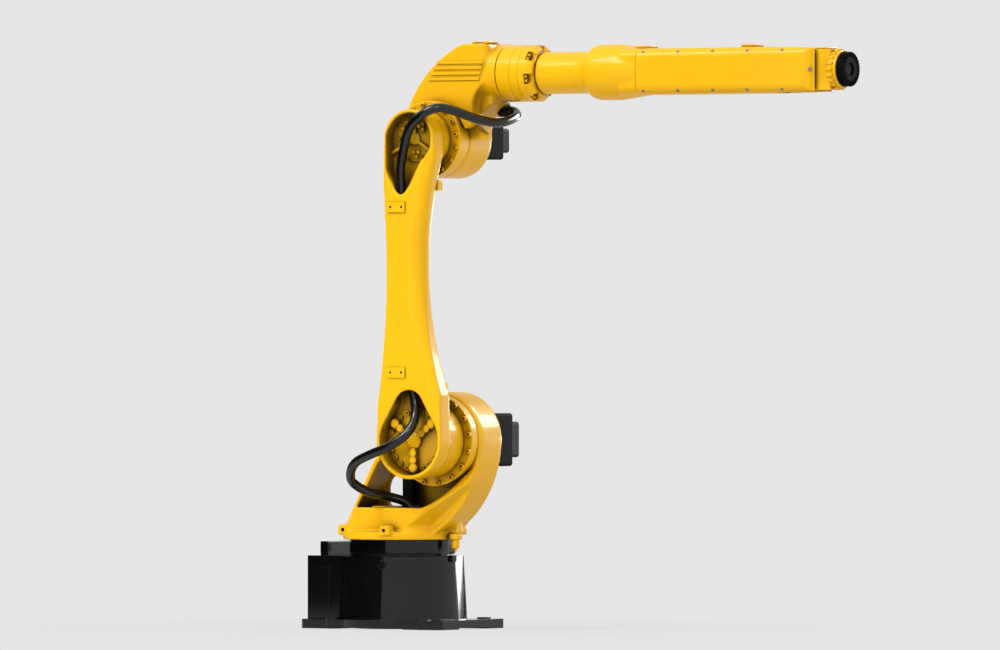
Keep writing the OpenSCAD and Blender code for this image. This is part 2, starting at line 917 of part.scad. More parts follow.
module elbow_reducer() {
  color(paint) bar_y(shoulder_x, elbow_z, elbow_reducer_r, elbow_reducer_y, -elbow_hw);
}

module elbow_motor() {
  color(black) motor_body(elbow_z, elbow_motor_w, elbow_far_y, elbow_motor_y);
}

module elbow_encoder() {
  color(dark) motor_body(elbow_z, elbow_encoder_w, elbow_motor_y, elbow_encoder_y);
}

module rear_cover() {
  color(paint) across(-back_cover_hw, back_cover_hw) back_cover_outline();
}

// Four slats on the near face, each one set back a little from the one below
module louvre_panel() {
  color(paint) for (i = [0 : louvre_rows - 1])
    translate([shoulder_x, 0, elbow_z + louvre_rise + i * louvre_pitch])
      block([i * louvre_step - louvre_rear, -elbow_hw - louvre_out, 0],
        [i * louvre_step / 2 + louvre_front, -elbow_hw, louvre_h]);
}

module top_lugs() {
  color(paint) for (dx = top_lug_dxs)
    translate([shoulder_x + dx - top_lug_w / 2, top_lug_y - top_lug_l / 2, elbow_top_z])
      cube([top_lug_w, top_lug_l, top_lug_h]);
}

module under_bracket() {
  color(paint) across(-elbow_hw - bracket_w, -elbow_hw)
    translate([shoulder_x + bracket_dx, elbow_z + bracket_rise]) polygon([
      [0, bracket_h], [bracket_slope, 0], [bracket_l, bracket_tilt], [bracket_l, bracket_h]
    ]);
}

module upper_gland() {
  color(black) upper_gland_shape(gland_r - fit_gap);
}

module upper_hose() {
  color(black) hose(upper_route, hose_r);
}

module roll_seal() {
  color(black) bar_x(seal_r, roll_joint_x - run_gap - seal_t, roll_joint_x - run_gap);
}

module forearm_flange() {
  color(paint) difference() {
    union() {
      bar_x(roll_r, roll_joint_x, flange_x1);
      translate([flange_x1, 0, roll_z]) rotate([0, 90, 0])
        cylinder(h = flange_end_x - flange_x1, r1 = roll_r, r2 = flange_end_r);
    }
    for (i = [0 : scallops - 1])
      translate([scallop_x, 0, roll_z]) rotate([360 * i / scallops, 0, 0]) translate([0, 0, scallop_out])
        rotate([0, 90, 0]) cylinder(h = flange_end_x - scallop_x + over, r = scallop_r);
  }
}

// What is cut away in front of the bend axis to leave two round-nosed cheeks
module nose_cut() {
  translate([bend_x, roll_z]) difference() {
    translate([0, -2 * box_hh]) square([2 * nose_r, 4 * box_hh]);
    intersection() {
      circle(nose_r);
      square(2 * [nose_x, box_hh], center = true);
    }
  }
}

// The sloping cuts that thin the forearm above and below the wrist
module taper_cut() {
  for (side = [-1, 1])
    translate([0, roll_z]) polygon([
      [taper_x, side * box_hh], [bend_x + 2 * nose_r, side * (box_hh - taper)],
      [bend_x + 2 * nose_r, side * 2 * box_hh], [taper_x, side * 2 * box_hh]
    ]);
}

// The rounded corners of the cheeks' front ends, from above
module nose_corner_cut() {
  nose_end = bend_x + nose_x;
  for (side = [-1, 1])
    translate([nose_end - nose_round, side * (forearm_hw - nose_round), roll_z - 2 * box_hh])
      linear_extrude(4 * box_hh) difference() {
        translate([0, side > 0 ? 0 : -2 * nose_round]) square(2 * nose_round);
        circle(nose_round);
      }
}

// The bell's outline: a round shoulder, a short flat and a long fall to the box
function bell_outline() = let (top_x = bell_x + bell_rise_l, fall_x = top_x + bell_flat_l) concat(
  [[0, bell_x]],
  [for (p = bell_rise_shares) [tube_r + p.y * (bell_r - tube_r), bell_x + p.x * bell_rise_l]],
  [[bell_r, fall_x], [bell_end_r, fall_x + bell_fall_l], [0, fall_x + bell_fall_l]]);

// The whole forearm in front of the flange, covers included
module forearm_form() {
  difference() {
    union() {
      bar_x(tube_r, flange_end_x, bell_x + over);
      translate([0, 0, roll_z]) rotate([0, 90, 0]) rotate_extrude() polygon(bell_outline());
      along(box_x, bend_x + nose_x) translate([0, roll_z])
        round_rect(2 * forearm_hw, 2 * box_hh, forearm_round);
    }
    difference() {
      across(-slot_hw, slot_hw) translate([bend_x, roll_z]) {
        circle(slot_r);
        translate([0, -2 * box_hh]) square([2 * slot_r, 4 * box_hh]);
      }
      for (side = [-1, 1])
        bar_y(bend_x, roll_z, bearing_r, side * slot_hw - (slot_hw - wrist_hw - run_gap),
          side * slot_hw + (slot_hw - wrist_hw - run_gap));
    }
    across(-2 * forearm_hw, 2 * forearm_hw) {
      nose_cut();
      taper_cut();
    }
    nose_corner_cut();
    translate([rear_pad_x - top_pad_w / 2, -top_pad_w / 2, roll_z + box_hh])
      cube([top_pad_w, top_pad_w, box_hh]);
  }
}

// The slab that a side cover takes out of the forearm
module cover_slab(side) {
  mirror([0, side > 0 ? 0 : 1, 0])
    block([side_cover_x0, forearm_hw - side_cover_t, roll_z - 2 * box_hh],
      [bend_x + 2 * nose_r, 2 * forearm_hw, roll_z + 2 * box_hh]);
}

module forearm_shell() {
  color(paint) difference() {
    forearm_form();
    cover_slab(-1);
    cover_slab(1);
  }
}

// A long side cover that wraps round the forearm's edges
module side_cover(side) {
  color(paint) intersection() {
    forearm_form();
    cover_slab(side);
  }
}

module near_cover() {
  side_cover(-1);
}

module far_cover() {
  side_cover(1);
}

// A square seat on top of the forearm
module top_pad(x) {
  color(paint) translate([x - top_pad_w / 2, -top_pad_w / 2, roll_z + box_hh])
    cube([top_pad_w, top_pad_w, top_pad_h]);
}

module rear_top_pad() {
  top_pad(rear_pad_x);
}

module front_top_pad() {
  top_pad(front_pad_x);
}

module wrist_casting() {
  color(paint) {
    bar_y(bend_x, roll_z, wrist_r, -wrist_hw, wrist_hw);
    block([bend_x, -wrist_hw, roll_z - wrist_hh], [bend_x + wrist_face, wrist_hw, roll_z + wrist_hh]);
  }
}

module wrist_ring() {
  color(paint) bar_x(wrist_ring_r, bend_x + wrist_face, tool_x - flange_t - run_gap);
}

module wrist_top_plate() {
  color(paint) block([bend_x + top_plate_x0, -top_plate_hw, roll_z + wrist_hh],
    [bend_x + top_plate_x1, top_plate_hw, roll_z + wrist_hh + top_plate_t]);
}

module tool_flange() {
  color(black) difference() {
    bar_x(flange_r, tool_x - flange_t, tool_x);
    bar_x(pilot_r, tool_x - pilot_d, tool_x + over);
    bar_x(cap_r, tool_x - flange_t - over, tool_x - pilot_d);
    for (i = [0 : tool_holes - 1])
      translate([tool_x - tool_hole_d, 0, roll_z]) rotate([45 + 360 * i / tool_holes, 0, 0])
        translate([0, 0, tool_pcd / 2]) rotate([0, 90, 0]) cylinder(h = tool_hole_d + over, r = tool_hole_r);
  }
}

module flange_cap() {
  color(dark) bar_x(cap_r - fit_gap, tool_x - flange_t, tool_x - pilot_d);
}

base_casting();
cable_box_cover();
connector_block();
bearing_ring();
drum_plug();
zero_block();
turret_casting();
turn_motor();
turn_motor_plate();
shoulder_reducer();
shoulder_motor();
shoulder_encoder();
stop_pin();
lower_gland();
lower_hose();
lower_arm();
shoulder_hub_plate();
elbow_hub_plate();
lower_cable_pad();
upper_cable_pad();
shoulder_stop();
elbow_stop();
elbow_casting();
elbow_reducer();
elbow_motor();
elbow_encoder();
rear_cover();
louvre_panel();
top_lugs();
under_bracket();
upper_gland();
upper_hose();
roll_seal();
forearm_flange();
forearm_shell();
near_cover();
far_cover();
rear_top_pad();
front_top_pad();
wrist_casting();
wrist_ring();
wrist_top_plate();
tool_flange();
flange_cap();
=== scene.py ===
import bpy
import bmesh
import math
from mathutils import Vector, Matrix


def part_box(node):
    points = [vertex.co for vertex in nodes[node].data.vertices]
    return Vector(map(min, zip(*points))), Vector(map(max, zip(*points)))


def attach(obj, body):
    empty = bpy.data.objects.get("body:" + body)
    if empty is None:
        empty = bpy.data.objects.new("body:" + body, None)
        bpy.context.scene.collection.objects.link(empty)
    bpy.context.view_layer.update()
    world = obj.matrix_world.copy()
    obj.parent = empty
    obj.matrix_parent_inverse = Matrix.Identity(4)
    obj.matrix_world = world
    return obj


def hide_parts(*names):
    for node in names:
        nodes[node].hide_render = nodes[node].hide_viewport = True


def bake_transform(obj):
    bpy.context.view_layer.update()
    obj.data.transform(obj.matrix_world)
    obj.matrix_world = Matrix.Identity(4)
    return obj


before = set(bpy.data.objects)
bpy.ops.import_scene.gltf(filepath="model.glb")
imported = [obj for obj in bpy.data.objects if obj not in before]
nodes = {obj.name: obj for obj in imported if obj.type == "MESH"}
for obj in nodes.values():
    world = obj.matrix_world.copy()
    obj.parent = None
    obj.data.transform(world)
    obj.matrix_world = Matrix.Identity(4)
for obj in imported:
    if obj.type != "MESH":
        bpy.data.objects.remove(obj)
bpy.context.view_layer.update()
scene = bpy.context.scene
scene.view_settings.view_transform = "Standard"
mm = 0.001
xAxis, yAxis, zAxis = Vector((1, 0, 0)), Vector((0, 1, 0)), Vector((0, 0, 1))
rollHeight = 1357  # the forearm's own axis, in mm
rollZ = rollHeight * mm
print("stage: frame loaded,", len(nodes), "nodes")


# camera

view = {
    "turn": 33.0,  # degrees round the turning axis
    "distance": 30.0,
    "height": 0.7436,
    "shiftRight": 0.2389,  # how far the picture's middle lies right of the turning axis
    "lens": 440.0,
    "sensor": 36.0,
    "clipEnd": 200.0,
}


def makeCamera(v):
    turn = math.radians(v["turn"])
    right = Vector((math.cos(turn), math.sin(turn), 0))
    back = Vector((math.sin(turn), -math.cos(turn), 0))
    data = bpy.data.cameras.new("viewCamera")
    data.lens = v["lens"]
    data.sensor_width = v["sensor"]
    data.clip_end = v["clipEnd"]
    camera = bpy.data.objects.new("viewCamera", data)
    camera.location = right * v["shiftRight"] + back * v["distance"] + zAxis * v["height"]
    camera.rotation_euler = (-back).to_track_quat("-Z", "Y").to_euler()
    scene.collection.objects.link(camera)
    scene.camera = camera


makeCamera(view)


# finishes

def nodeTree(name):
    mat = bpy.data.materials.new(name)
    mat.use_nodes = True
    tree = mat.node_tree
    shader = tree.nodes["Principled BSDF"]
    coords = tree.nodes.new("ShaderNodeTexCoord")
    return mat, tree, shader, coords


def noiseAt(tree, coords, scale, detail=3.0):
    noise = tree.nodes.new("ShaderNodeTexNoise")
    noise.inputs["Scale"].default_value = scale
    noise.inputs["Detail"].default_value = detail
    tree.links.new(coords.outputs["Object"], noise.inputs["Vector"])
    return noise


def rampOf(tree, source, low, high):
    ramp = tree.nodes.new("ShaderNodeValToRGB")
    ramp.color_ramp.elements[0].position = 0.3
    ramp.color_ramp.elements[1].position = 0.7
    ramp.color_ramp.elements[0].color = (*low, 1)
    ramp.color_ramp.elements[1].color = (*high, 1)
    tree.links.new(source.outputs["Fac"], ramp.inputs["Fac"])
    return ramp


# painted shade: ambient occlusion scales the base colour down in hollows and between parts
def paintRecessShade(tree, ramp, r):
    hidden = tree.nodes.new("ShaderNodeAmbientOcclusion")
    hidden.samples = 8
    hidden.inputs["Distance"].default_value = r["reach"]
    depth = tree.nodes.new("ShaderNodeMapRange")
    depth.inputs["From Min"].default_value, depth.inputs["From Max"].default_value = r["span"]
    depth.inputs["To Min"].default_value = r["dark"]
    tree.links.new(hidden.outputs["AO"], depth.inputs["Value"])
    scale = tree.nodes.new("ShaderNodeVectorMath")
    scale.operation = "SCALE"
    tree.links.new(ramp.outputs["Color"], scale.inputs[0])
    tree.links.new(depth.outputs["Result"], scale.inputs["Scale"])
    return scale.outputs["Vector"]


def makeFinish(name, f):
    mat, tree, shader, coords = nodeTree(name)
    broad = noiseAt(tree, coords, f["patchScale"])
    ramp = rampOf(tree, broad, f["low"], f["high"])
    colour = paintRecessShade(tree, ramp, f["recess"]) if "recess" in f else ramp.outputs["Color"]
    tree.links.new(colour, shader.inputs["Base Color"])
    fine = noiseAt(tree, coords, f["grainScale"], detail=4.0)
    rough = tree.nodes.new("ShaderNodeMapRange")
    rough.inputs["To Min"].default_value, rough.inputs["To Max"].default_value = f["rough"]
    tree.links.new(fine.outputs["Fac"], rough.inputs["Value"])
    tree.links.new(rough.outputs["Result"], shader.inputs["Roughness"])
    bump = tree.nodes.new("ShaderNodeBump")
    bump.inputs["Strength"].default_value = f["bump"]
    bump.inputs["Distance"].default_value = f["bumpDepth"]
    tree.links.new(fine.outputs["Fac"], bump.inputs["Height"])
    tree.links.new(bump.outputs["Normal"], shader.inputs["Normal"])
    shader.inputs["Metallic"].default_value = f.get("metal", 0.0)
    shader.inputs["Coat Weight"].default_value = f.get("coat", 0.0)
    shader.inputs["Coat Roughness"].default_value = f.get("coatRough", 0.05)
    shader.inputs["Specular IOR Level"].default_value = f.get("specular", 0.5)
    return mat


def grey(value):
    return (value, value, value)


finishes = {
    "yellowPaint": {
        "low": (0.94, 0.487, 0.0005), "high": (0.99, 0.525, 0.001), "patchScale": 5.0, "grainScale": 260.0,
        "rough": (0.34, 0.42), "bump": 0.05, "bumpDepth": 0.0004,
        "coat": 0.2, "coatRough": 0.05, "specular": 0.15,
        "recess": {"reach": 0.12, "span": (0.25, 0.82), "dark": 0.1},  # painted shade: the colour darkens in the hollows and between parts, where shade falls
    },
    "blackPaint": {
        "low": grey(0.002), "high": grey(0.004), "patchScale": 6.0, "grainScale": 300.0,
        "rough": (0.08, 0.12), "bump": 0.015, "bumpDepth": 0.0002, "specular": 0.42,
    },
    "motorBlack": {
        "low": grey(0.004), "high": grey(0.006), "patchScale": 8.0, "grainScale": 420.0,
        "rough": (0.45, 0.55), "bump": 0.08, "bumpDepth": 0.0004, "specular": 0.02,
    },
    "darkPlastic": {
        "low": grey(0.007), "high": grey(0.011), "patchScale": 9.0, "grainScale": 500.0,
        "rough": (0.45, 0.6), "bump": 0.1, "bumpDepth": 0.0004, "specular": 0.08,
    },
    "hoseRubber": {
        "low": grey(0.002), "high": grey(0.005), "patchScale": 12.0, "grainScale": 350.0,
        "rough": (0.2, 0.26), "bump": 0.03, "bumpDepth": 0.0003,
        "coat": 0.3, "coatRough": 0.06, "specular": 0.4,
    },
    "flangeBlack": {
        "low": grey(0.003), "high": grey(0.007), "patchScale": 10.0, "grainScale": 400.0,
        "rough": (0.4, 0.5), "bump": 0.05, "bumpDepth": 0.0004, "specular": 0.015,
    },
    "capGrey": {
        "low": (0.035, 0.035, 0.036), "high": (0.05, 0.05, 0.051), "patchScale": 20.0, "grainScale": 500.0,
        "rough": (0.5, 0.6), "bump": 0.05, "bumpDepth": 0.0003, "specular": 0.1,
    },
    "seamShade": {
        "low": (0.16, 0.085, 0.002), "high": (0.2, 0.11, 0.003), "patchScale": 30.0, "grainScale": 400.0,
        "rough": (0.6, 0.7), "bump": 0.03, "bumpDepth": 0.0002, "specular": 0.1,
    },
    "darkScrew": {
        "low": (0.05, 0.04, 0.02), "high": (0.09, 0.07, 0.03), "patchScale": 60.0, "grainScale": 700.0,
        "rough": (0.35, 0.5), "bump": 0.05, "bumpDepth": 0.0003, "metal": 0.5,
    },
    "steelScrew": {
        "low": (0.26, 0.25, 0.22), "high": (0.36, 0.35, 0.32), "patchScale": 60.0, "grainScale": 700.0,
        "rough": (0.3, 0.42), "bump": 0.05, "bumpDepth": 0.0003, "metal": 0.9,
    },
}
mats = {name: makeFinish(name, f) for name, f in finishes.items()}
print("stage: finishes made,", len(mats))


# helpers

def makePiece(name, bm, finish, body):
    mesh = bpy.data.meshes.new(name)
    bm.to_mesh(mesh)
    bm.free()
    piece = bpy.data.objects.new(name, mesh)
    scene.collection.objects.link(piece)
    mesh.materials.append(mats[finish])
    mesh.shade_smooth()
    if body:
        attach(piece, body)
    return piece


def sharpen(piece, angle=35):
    piece.data.set_sharp_from_angle(angle=math.radians(angle))


weldReach = 0.02 * mm  # CAD points this near are one


def closeGaps(bm, reach=0.2 * mm):
    bmesh.ops.remove_doubles(bm, verts=bm.verts, dist=reach)
    bmesh.ops.recalc_face_normals(bm, faces=bm.faces)


def alongAxis(axis):
    return Vector(axis).normalized().to_track_quat("Z", "Y").to_matrix().to_4x4()


def spin(degrees):
    return Matrix.Rotation(math.radians(degrees), 4, "Z")


def circleTurns(sides):
    return [2 * math.pi * k / sides for k in range(sides)]


def bridge(bm, rings):  # faces between one ring of points and the next
    for low, high in zip(rings, rings[1:]):
        for k in range(len(low)):
            n = (k + 1) % len(low)
            bm.faces.new((low[k], low[n], high[n], high[k]))


def capEnds(bm, rings):
    bm.faces.new(rings[-1])
    bm.faces.new(list(reversed(rings[0])))


def ringsInto(bm, place, profile, sides):  # turns a profile of radius and height round the place's Z
    turns = circleTurns(sides)
    rings = [[bm.verts.new(place @ Vector((r * math.cos(a), r * math.sin(a), z))) for a in turns]
             for r, z in profile]
    bridge(bm, rings)
    return rings


# CAD nodes, with the width of their soft edges, or 0 where a piece below stands for the node

cadLooks = {
    "yellowPaint": {
        "turret_casting": 0, "turn_motor_plate": 2.0, "shoulder_reducer": 3.0, "stop_pin": 2.0,
        "lower_arm": 0, "shoulder_hub_plate": 0, "elbow_hub_plate": 0,
        "lower_cable_pad": 1.5, "upper_cable_pad": 1.5, "shoulder_stop": 3.0, "elbow_stop": 3.0,
        "elbow_casting": 0, "elbow_reducer": 3.0, "rear_cover": 1.5, "louvre_panel": 1.5, "top_lugs": 1.5,
        "under_bracket": 2.0, "forearm_flange": 2.0, "forearm_shell": 0, "near_cover": 2.0, "far_cover": 2.0,
        "rear_top_pad": 1.5, "front_top_pad": 1.5,
        "wrist_casting": 4.0, "wrist_ring": 0, "wrist_top_plate": 1.5,
    },
    "blackPaint": {
        "base_casting": 3.0, "cable_box_cover": 1.0, "connector_block": 2.0, "bearing_ring": 2.0,
        "drum_plug": 1.5, "zero_block": 1.5,
    },
    "motorBlack": {"turn_motor": 3.0, "shoulder_motor": 3.0, "elbow_motor": 3.0},
    "darkPlastic": {"shoulder_encoder": 3.0, "elbow_encoder": 3.0, "lower_gland": 3.0, "upper_gland": 2.0},
    "hoseRubber": {"lower_hose": 0, "upper_hose": 0, "roll_seal": 0.5},
    "flangeBlack": {"tool_flange": 0},
    "capGrey": {"flange_cap": 1.0},
}
softEdge = {"flatBelow": 0.5, "bevelFrom": 35, "segments": 3}  # angles in degrees


def softenNode(name, finish, width):
    node = nodes[name]
    node.data.materials.clear()
    node.data.materials.append(mats[finish])
    if not width:
        return
    weld = node.modifiers.new("weld", "WELD")
    weld.merge_threshold = weldReach
    flat = node.modifiers.new("flat", "DECIMATE")
    flat.decimate_type = "DISSOLVE"
    flat.angle_limit = math.radians(softEdge["flatBelow"])
    flat.delimit = set()
    bevel = node.modifiers.new("castEdge", "BEVEL")
    bevel.width = width * mm
    bevel.segments = softEdge["segments"]
    bevel.limit_method = "ANGLE"
    bevel.angle_limit = math.radians(softEdge["bevelFrom"])
    bevel.use_clamp_overlap = True
    bevel.harden_normals = False
    node.data.shade_smooth()
    normals = node.modifiers.new("normals", "WEIGHTED_NORMAL")
    normals.keep_sharp = True


for finish, group in cadLooks.items():
    for name, width in group.items():
        softenNode(name, finish, width)
print("stage: CAD nodes dressed")


# soft castings

castings = {
    "turretCast": {
        "node": "turret_casting", "body": "turret", "voxel": 3.0, "passes": 9,
        "crispBelow": 258,  # the foot gets only the first passes
    },
    "armCast": {
        "node": "lower_arm", "body": "lower_arm", "voxel": 2.6, "passes": 8,
        # lower end of the elbow pocket
        "tip": {"at": (126, -203, 1066), "reaches": (64, 52, 42, 34), "passes": 16},
    },
    "elbowCast": {
        "node": "elbow_casting", "body": "elbow", "voxel": 2.4, "passes": 12,
        "sharpFrom": 306,  # the end beyond this x keeps its edges
    },
    "forearmCast": {
        "node": "forearm_shell", "body": "forearm", "voxel": 2.2, "passes": 12,
        "sharpFrom": 695,
    },
}
firstPasses = 3  # these also soften what lies below crispBelow


def smoothPass(bm, verts):
    bmesh.ops.smooth_vert(bm, verts=verts, factor=0.5, use_axis_x=True, use_axis_y=True, use_axis_z=True)


def roundTip(bm, tip):  # softens most at the middle
    middle = Vector(tip["at"]) * mm
    for reach in tip["reaches"]:
        near = [v for v in bm.verts if (v.co - middle).length < reach * mm]
        for i in range(tip["passes"]):
            smoothPass(bm, near)


def roughCopy(name, source, voxel):
    bm = bmesh.new()
    bm.from_mesh(source.data)
    bm.transform(source.matrix_world)
    bmesh.ops.remove_doubles(bm, verts=bm.verts, dist=weldReach)
    mesh = bpy.data.meshes.new(name + "Rough")
    bm.to_mesh(mesh)
    bm.free()
    rough = bpy.data.objects.new(name + "Rough", mesh)
    scene.collection.objects.link(rough)
    remesh = rough.modifiers.new("remesh", "REMESH")
    remesh.mode = "VOXEL"
    remesh.voxel_size = voxel * mm
    return rough


def castMesh(name, c):
    rough = roughCopy(name, nodes[c["node"]], c["voxel"])
    made = rough.evaluated_get(bpy.context.evaluated_depsgraph_get())
    bm = bmesh.new()
    bm.from_mesh(made.to_mesh())
    made.to_mesh_clear()
    bpy.data.objects.remove(rough)
    free = [v for v in bm.verts if v.co.x < c.get("sharpFrom", math.inf) * mm]
    high = [v for v in free if v.co.z > c.get("crispBelow", 0) * mm]
    for i in range(c["passes"]):
        smoothPass(bm, free if i < firstPasses else high)
    if "tip" in c:
        roundTip(bm, c["tip"])
    return bm


for name, c in castings.items():
    piece = makePiece(name, castMesh(name, c), "yellowPaint", c["body"])
    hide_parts(c["node"])
    print("stage: cast", name, len(piece.data.polygons), "faces")


# hoses

hoses = {
    "lowerHose": {
        "node": "lower_hose", "bodies": ("turret", "lower_arm"), "radius": 11.5,
        "bendFrom": (0, -150, 330), "bendTo": (150, -220, 480),
        "route": [
            (62, -46, 289), (44, -58, 311), (19, -86, 323), (-5, -140, 334), (-20, -188, 358),
            (-10, -215, 383), (17, -232, 409), (68, -243, 429), (114, -245, 445), (152, -232, 469),
            (166, -212, 496), (164, -192, 524), (154, -181, 560), (146, -180, 600), (142, -180, 640),
        ],
    },
    "upperHose": {
        "node": "upper_hose", "bodies": ("lower_arm", "elbow"), "radius": 11.5,
        "bendFrom": (120, -190, 1122), "bendTo": (264, -170, 1264),
        "route": [
            (124, -180, 1030), (119, -184, 1074), (120, -190, 1122), (134, -199, 1170), (160, -213, 1220),
            (200, -220, 1254), (237, -205, 1271), (264, -170, 1264), (290, -130, 1248), (314, -85, 1237),
            (322, -60, 1237), (327, -35, 1240), (326, 8, 1252), (308, 32, 1264), (286, 38, 1268),
        ],
    },
}


def smoothRoute(route, steps=6):
    points = [Vector(p) * mm for p in route]
    out = []
    for i in range(len(points) - 1):
        a, b = points[max(i - 1, 0)], points[i]
        c, d = points[i + 1], points[min(i + 2, len(points) - 1)]
        for s in range(steps):
            t = s / steps
            out.append(0.5 * (2 * b + (c - a) * t + (2 * a - 5 * b + 4 * c - d) * t * t
                              + (3 * b - a - 3 * c + d) * t ** 3))
    return out + [points[-1]]


def tubeMesh(path, radius, sides=20):
    bm = bmesh.new()
    rings = []
    side = None
    for i, p in enumerate(path):
        heading = (path[min(i + 1, len(path) - 1)] - path[max(i - 1, 0)]).normalized()
        if side is None:
            side = heading.orthogonal()
        side = (side - heading * side.dot(heading)).normalized()
        other = heading.cross(side)
        rings.append([bm.verts.new(p + radius * (math.cos(a) * side + math.sin(a) * other))
                      for a in circleTurns(sides)])
    bridge(bm, rings)
    capEnds(bm, rings)
    return bm


for name, h in hoses.items():
    path = smoothRoute(h["route"])
    hose = makePiece(name, tubeMesh(path, h["radius"] * mm), "hoseRubber", None)
    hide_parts(h["node"])
    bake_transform(hose)
print("stage: hoses made")


# hub plates

hubPlates = {
    "shoulderHub": {
        "node": "shoulder_hub_plate", "at": (150, -163, 462), "radius": 79.8, "hubRadius": 20, "tall": 21.8,
        "ribs": {-90: 77.8, 38: 77.8, 142: 77.8}, "rib": 11,  # turn and outer end of each rib
        "knobs": (30, 48, 67), "knob": 9.5, "endKnob": 12, "clovers": (),
    },
    "elbowHub": {
        "node": "elbow_hub_plate", "at": (150, -163, 1197), "radius": 55.8, "hubRadius": 15, "tall": 14.8,
        "ribs": {90: 53.8, 207: 91, -33: 53.8}, "rib": 8,
        "knobs": (), "knob": 5.5, "clovers": (-85, 57, 143), "cloverAt": 36, "cloverSpread": 7.5,
    },
}
plateShape = {
    "thick": 5, "edge": 1, "fillet": 3, "sides": 64, "axisRadius": 0.1,
    "ribFoot": 0.5, "ribInside": 2, "ribDrop": 1.5, "cloverDrop": 3,
    "hubSide": 0.7, "hubTop": 0.8, "hubFace": 0.85,  # shares of the height, and of the hub's radius
}
knobShape = {"lip": 0.25, "footOut": 0.4, "footUp": 0.5}  # shares of the radius, and of the lip
ribShape = {"slope": 0.35, "edge": 0.3}  # shares of the width, and of the slope


def knobInto(bm, place, radius, base, top, sides=20):
    lip = knobShape["lip"] * radius
    profile = [(radius + knobShape["footOut"] * lip, base), (radius, base + knobShape["footUp"] * lip),
               (radius, top - lip), (radius - lip, top)]
    capEnds(bm, ringsInto(bm, place, profile, sides))


def ribInto(bm, place, inner, outer, width, base, top):
    half, slope = 0.5 * width, ribShape["slope"] * width
    edge = ribShape["edge"] * slope
    section = [(-half - slope, base), (-half, top - edge), (-half + edge, top),
               (half - edge, top), (half, top - edge), (half + slope, base)]
    ends = [[bm.verts.new(place @ Vector((x, y, z))) for y, z in section] for x in (inner, outer)]
    count = len(section)
    for k in range(count):
        n = (k + 1) % count
        bm.faces.new((ends[0][k], ends[1][k], ends[1][n], ends[0][n]))
    bm.faces.new(ends[0])
    bm.faces.new(list(reversed(ends[1])))


def hubPlateMesh(h, shape):
    bm = bmesh.new()
    seat = Matrix.Translation(Vector(h["at"]) * mm) @ Matrix.Rotation(math.radians(90), 4, "X")  # faces -Y
    r, hub, tall, knob = (h[key] * mm for key in ("radius", "hubRadius", "tall", "knob"))
    thick, edge, fillet, axis = (shape[key] * mm for key in ("thick", "edge", "fillet", "axisRadius"))
    top = shape["hubTop"] * tall
    profile = [(axis, 0), (r, 0), (r, thick - edge), (r - edge, thick), (hub + fillet, thick),
               (hub + edge, thick + edge), (hub, shape["hubSide"] * tall),
               (shape["hubFace"] * hub, top), (axis, top)]
    ringsInto(bm, seat, profile, shape["sides"])
    for turn, end in h["ribs"].items():
        arm = seat @ spin(turn)
        ribInto(bm, arm, hub - shape["ribInside"] * mm, end * mm, h["rib"] * mm, shape["ribFoot"] * mm,
                tall - shape["ribDrop"] * mm)
        for out in h["knobs"]:
            radius = h["endKnob"] * mm if out == h["knobs"][-1] else knob
            knobInto(bm, arm @ Matrix.Translation((out * mm, 0, 0)), radius, thick - edge, tall)
    for turn in h["clovers"]:
        middle = seat @ spin(turn) @ Matrix.Translation((h["cloverAt"] * mm, 0, 0))
        for leaf in (0, 120, 240):
            place = middle @ spin(leaf) @ Matrix.Translation((h["cloverSpread"] * mm, 0, 0))
            knobInto(bm, place, knob, thick - edge, tall - shape["cloverDrop"] * mm)
    closeGaps(bm)
    return bm


for name, h in hubPlates.items():
    piece = makePiece(name, hubPlateMesh(h, plateShape), "yellowPaint", "lower_arm")
    sharpen(piece, 30)
    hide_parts(h["node"])
print("stage: hub plates made")


# screws

# shares of the head's radius, and of its height
screwShape = {"lip": 0.18, "socket": 0.62, "floor": 0.56, "floorUp": 0.45}


def screwInto(bm, place, axis, radius, height, sides=16):
    lip = screwShape["lip"] * radius
    profile = [(radius, 0), (radius, height - lip), (radius - lip, height),
               (screwShape["socket"] * radius, height),
               (screwShape["floor"] * radius, screwShape["floorUp"] * height)]
    capEnds(bm, ringsInto(bm, Matrix.Translation(Vector(place)) @ alongAxis(axis), profile, sides))


# a spot is a place and an axis, a head is its radius and height
def makeScrews(name, spots, head, finish, body):
    radius, height = (v * mm for v in head)
    bm = bmesh.new()
    for place, axis in spots:
        screwInto(bm, place, axis, radius, height)
    sharpen(makePiece(name, bm, finish, body))


def ringPlaces(centre, across, up, radius, count, start=0.0, clearOf=(), clearBy=0):
    c, u, v = Vector(centre), Vector(across), Vector(up)
    turns = [start + 360 * k / count for k in range(count)]
    free = [t for t in turns if all(abs((t - rib + 180) % 360 - 180) > clearBy for rib in clearOf)]
    return [c + radius * (math.cos(a) * u + math.sin(a) * v) for a in map(math.radians, free)]


shoulder = Vector((150, 0, 462)) * mm
elbow = Vector((150, 0, 1197)) * mm
screwRings = {
    "shoulderReducerScrews": {
        "axle": shoulder, "out": 89, "radius": 105, "count": 16, "start": 8, "head": (6.2, 7),
        "body": "turret", "clearOf": (), "clearBy": 0,
    },
    "elbowReducerScrews": {
        "axle": elbow, "out": 116, "radius": 84.5, "count": 16, "start": 8, "head": (5.2, 6),
        "body": "elbow", "clearOf": (), "clearBy": 0,
    },
    "shoulderHubScrews": {
        "axle": shoulder, "out": 168, "radius": 70, "count": 20, "start": 0, "head": (5.6, 7),
        "body": "lower_arm", "clearOf": tuple(hubPlates["shoulderHub"]["ribs"]), "clearBy": 8,
    },
    "elbowHubScrews": {
        "axle": elbow, "out": 168, "radius": 48, "count": 16, "start": 0, "head": (4.6, 6),
        "body": "lower_arm", "clearBy": 17,
        "clearOf": (*hubPlates["elbowHub"]["ribs"], *hubPlates["elbowHub"]["clovers"]),
    },
}
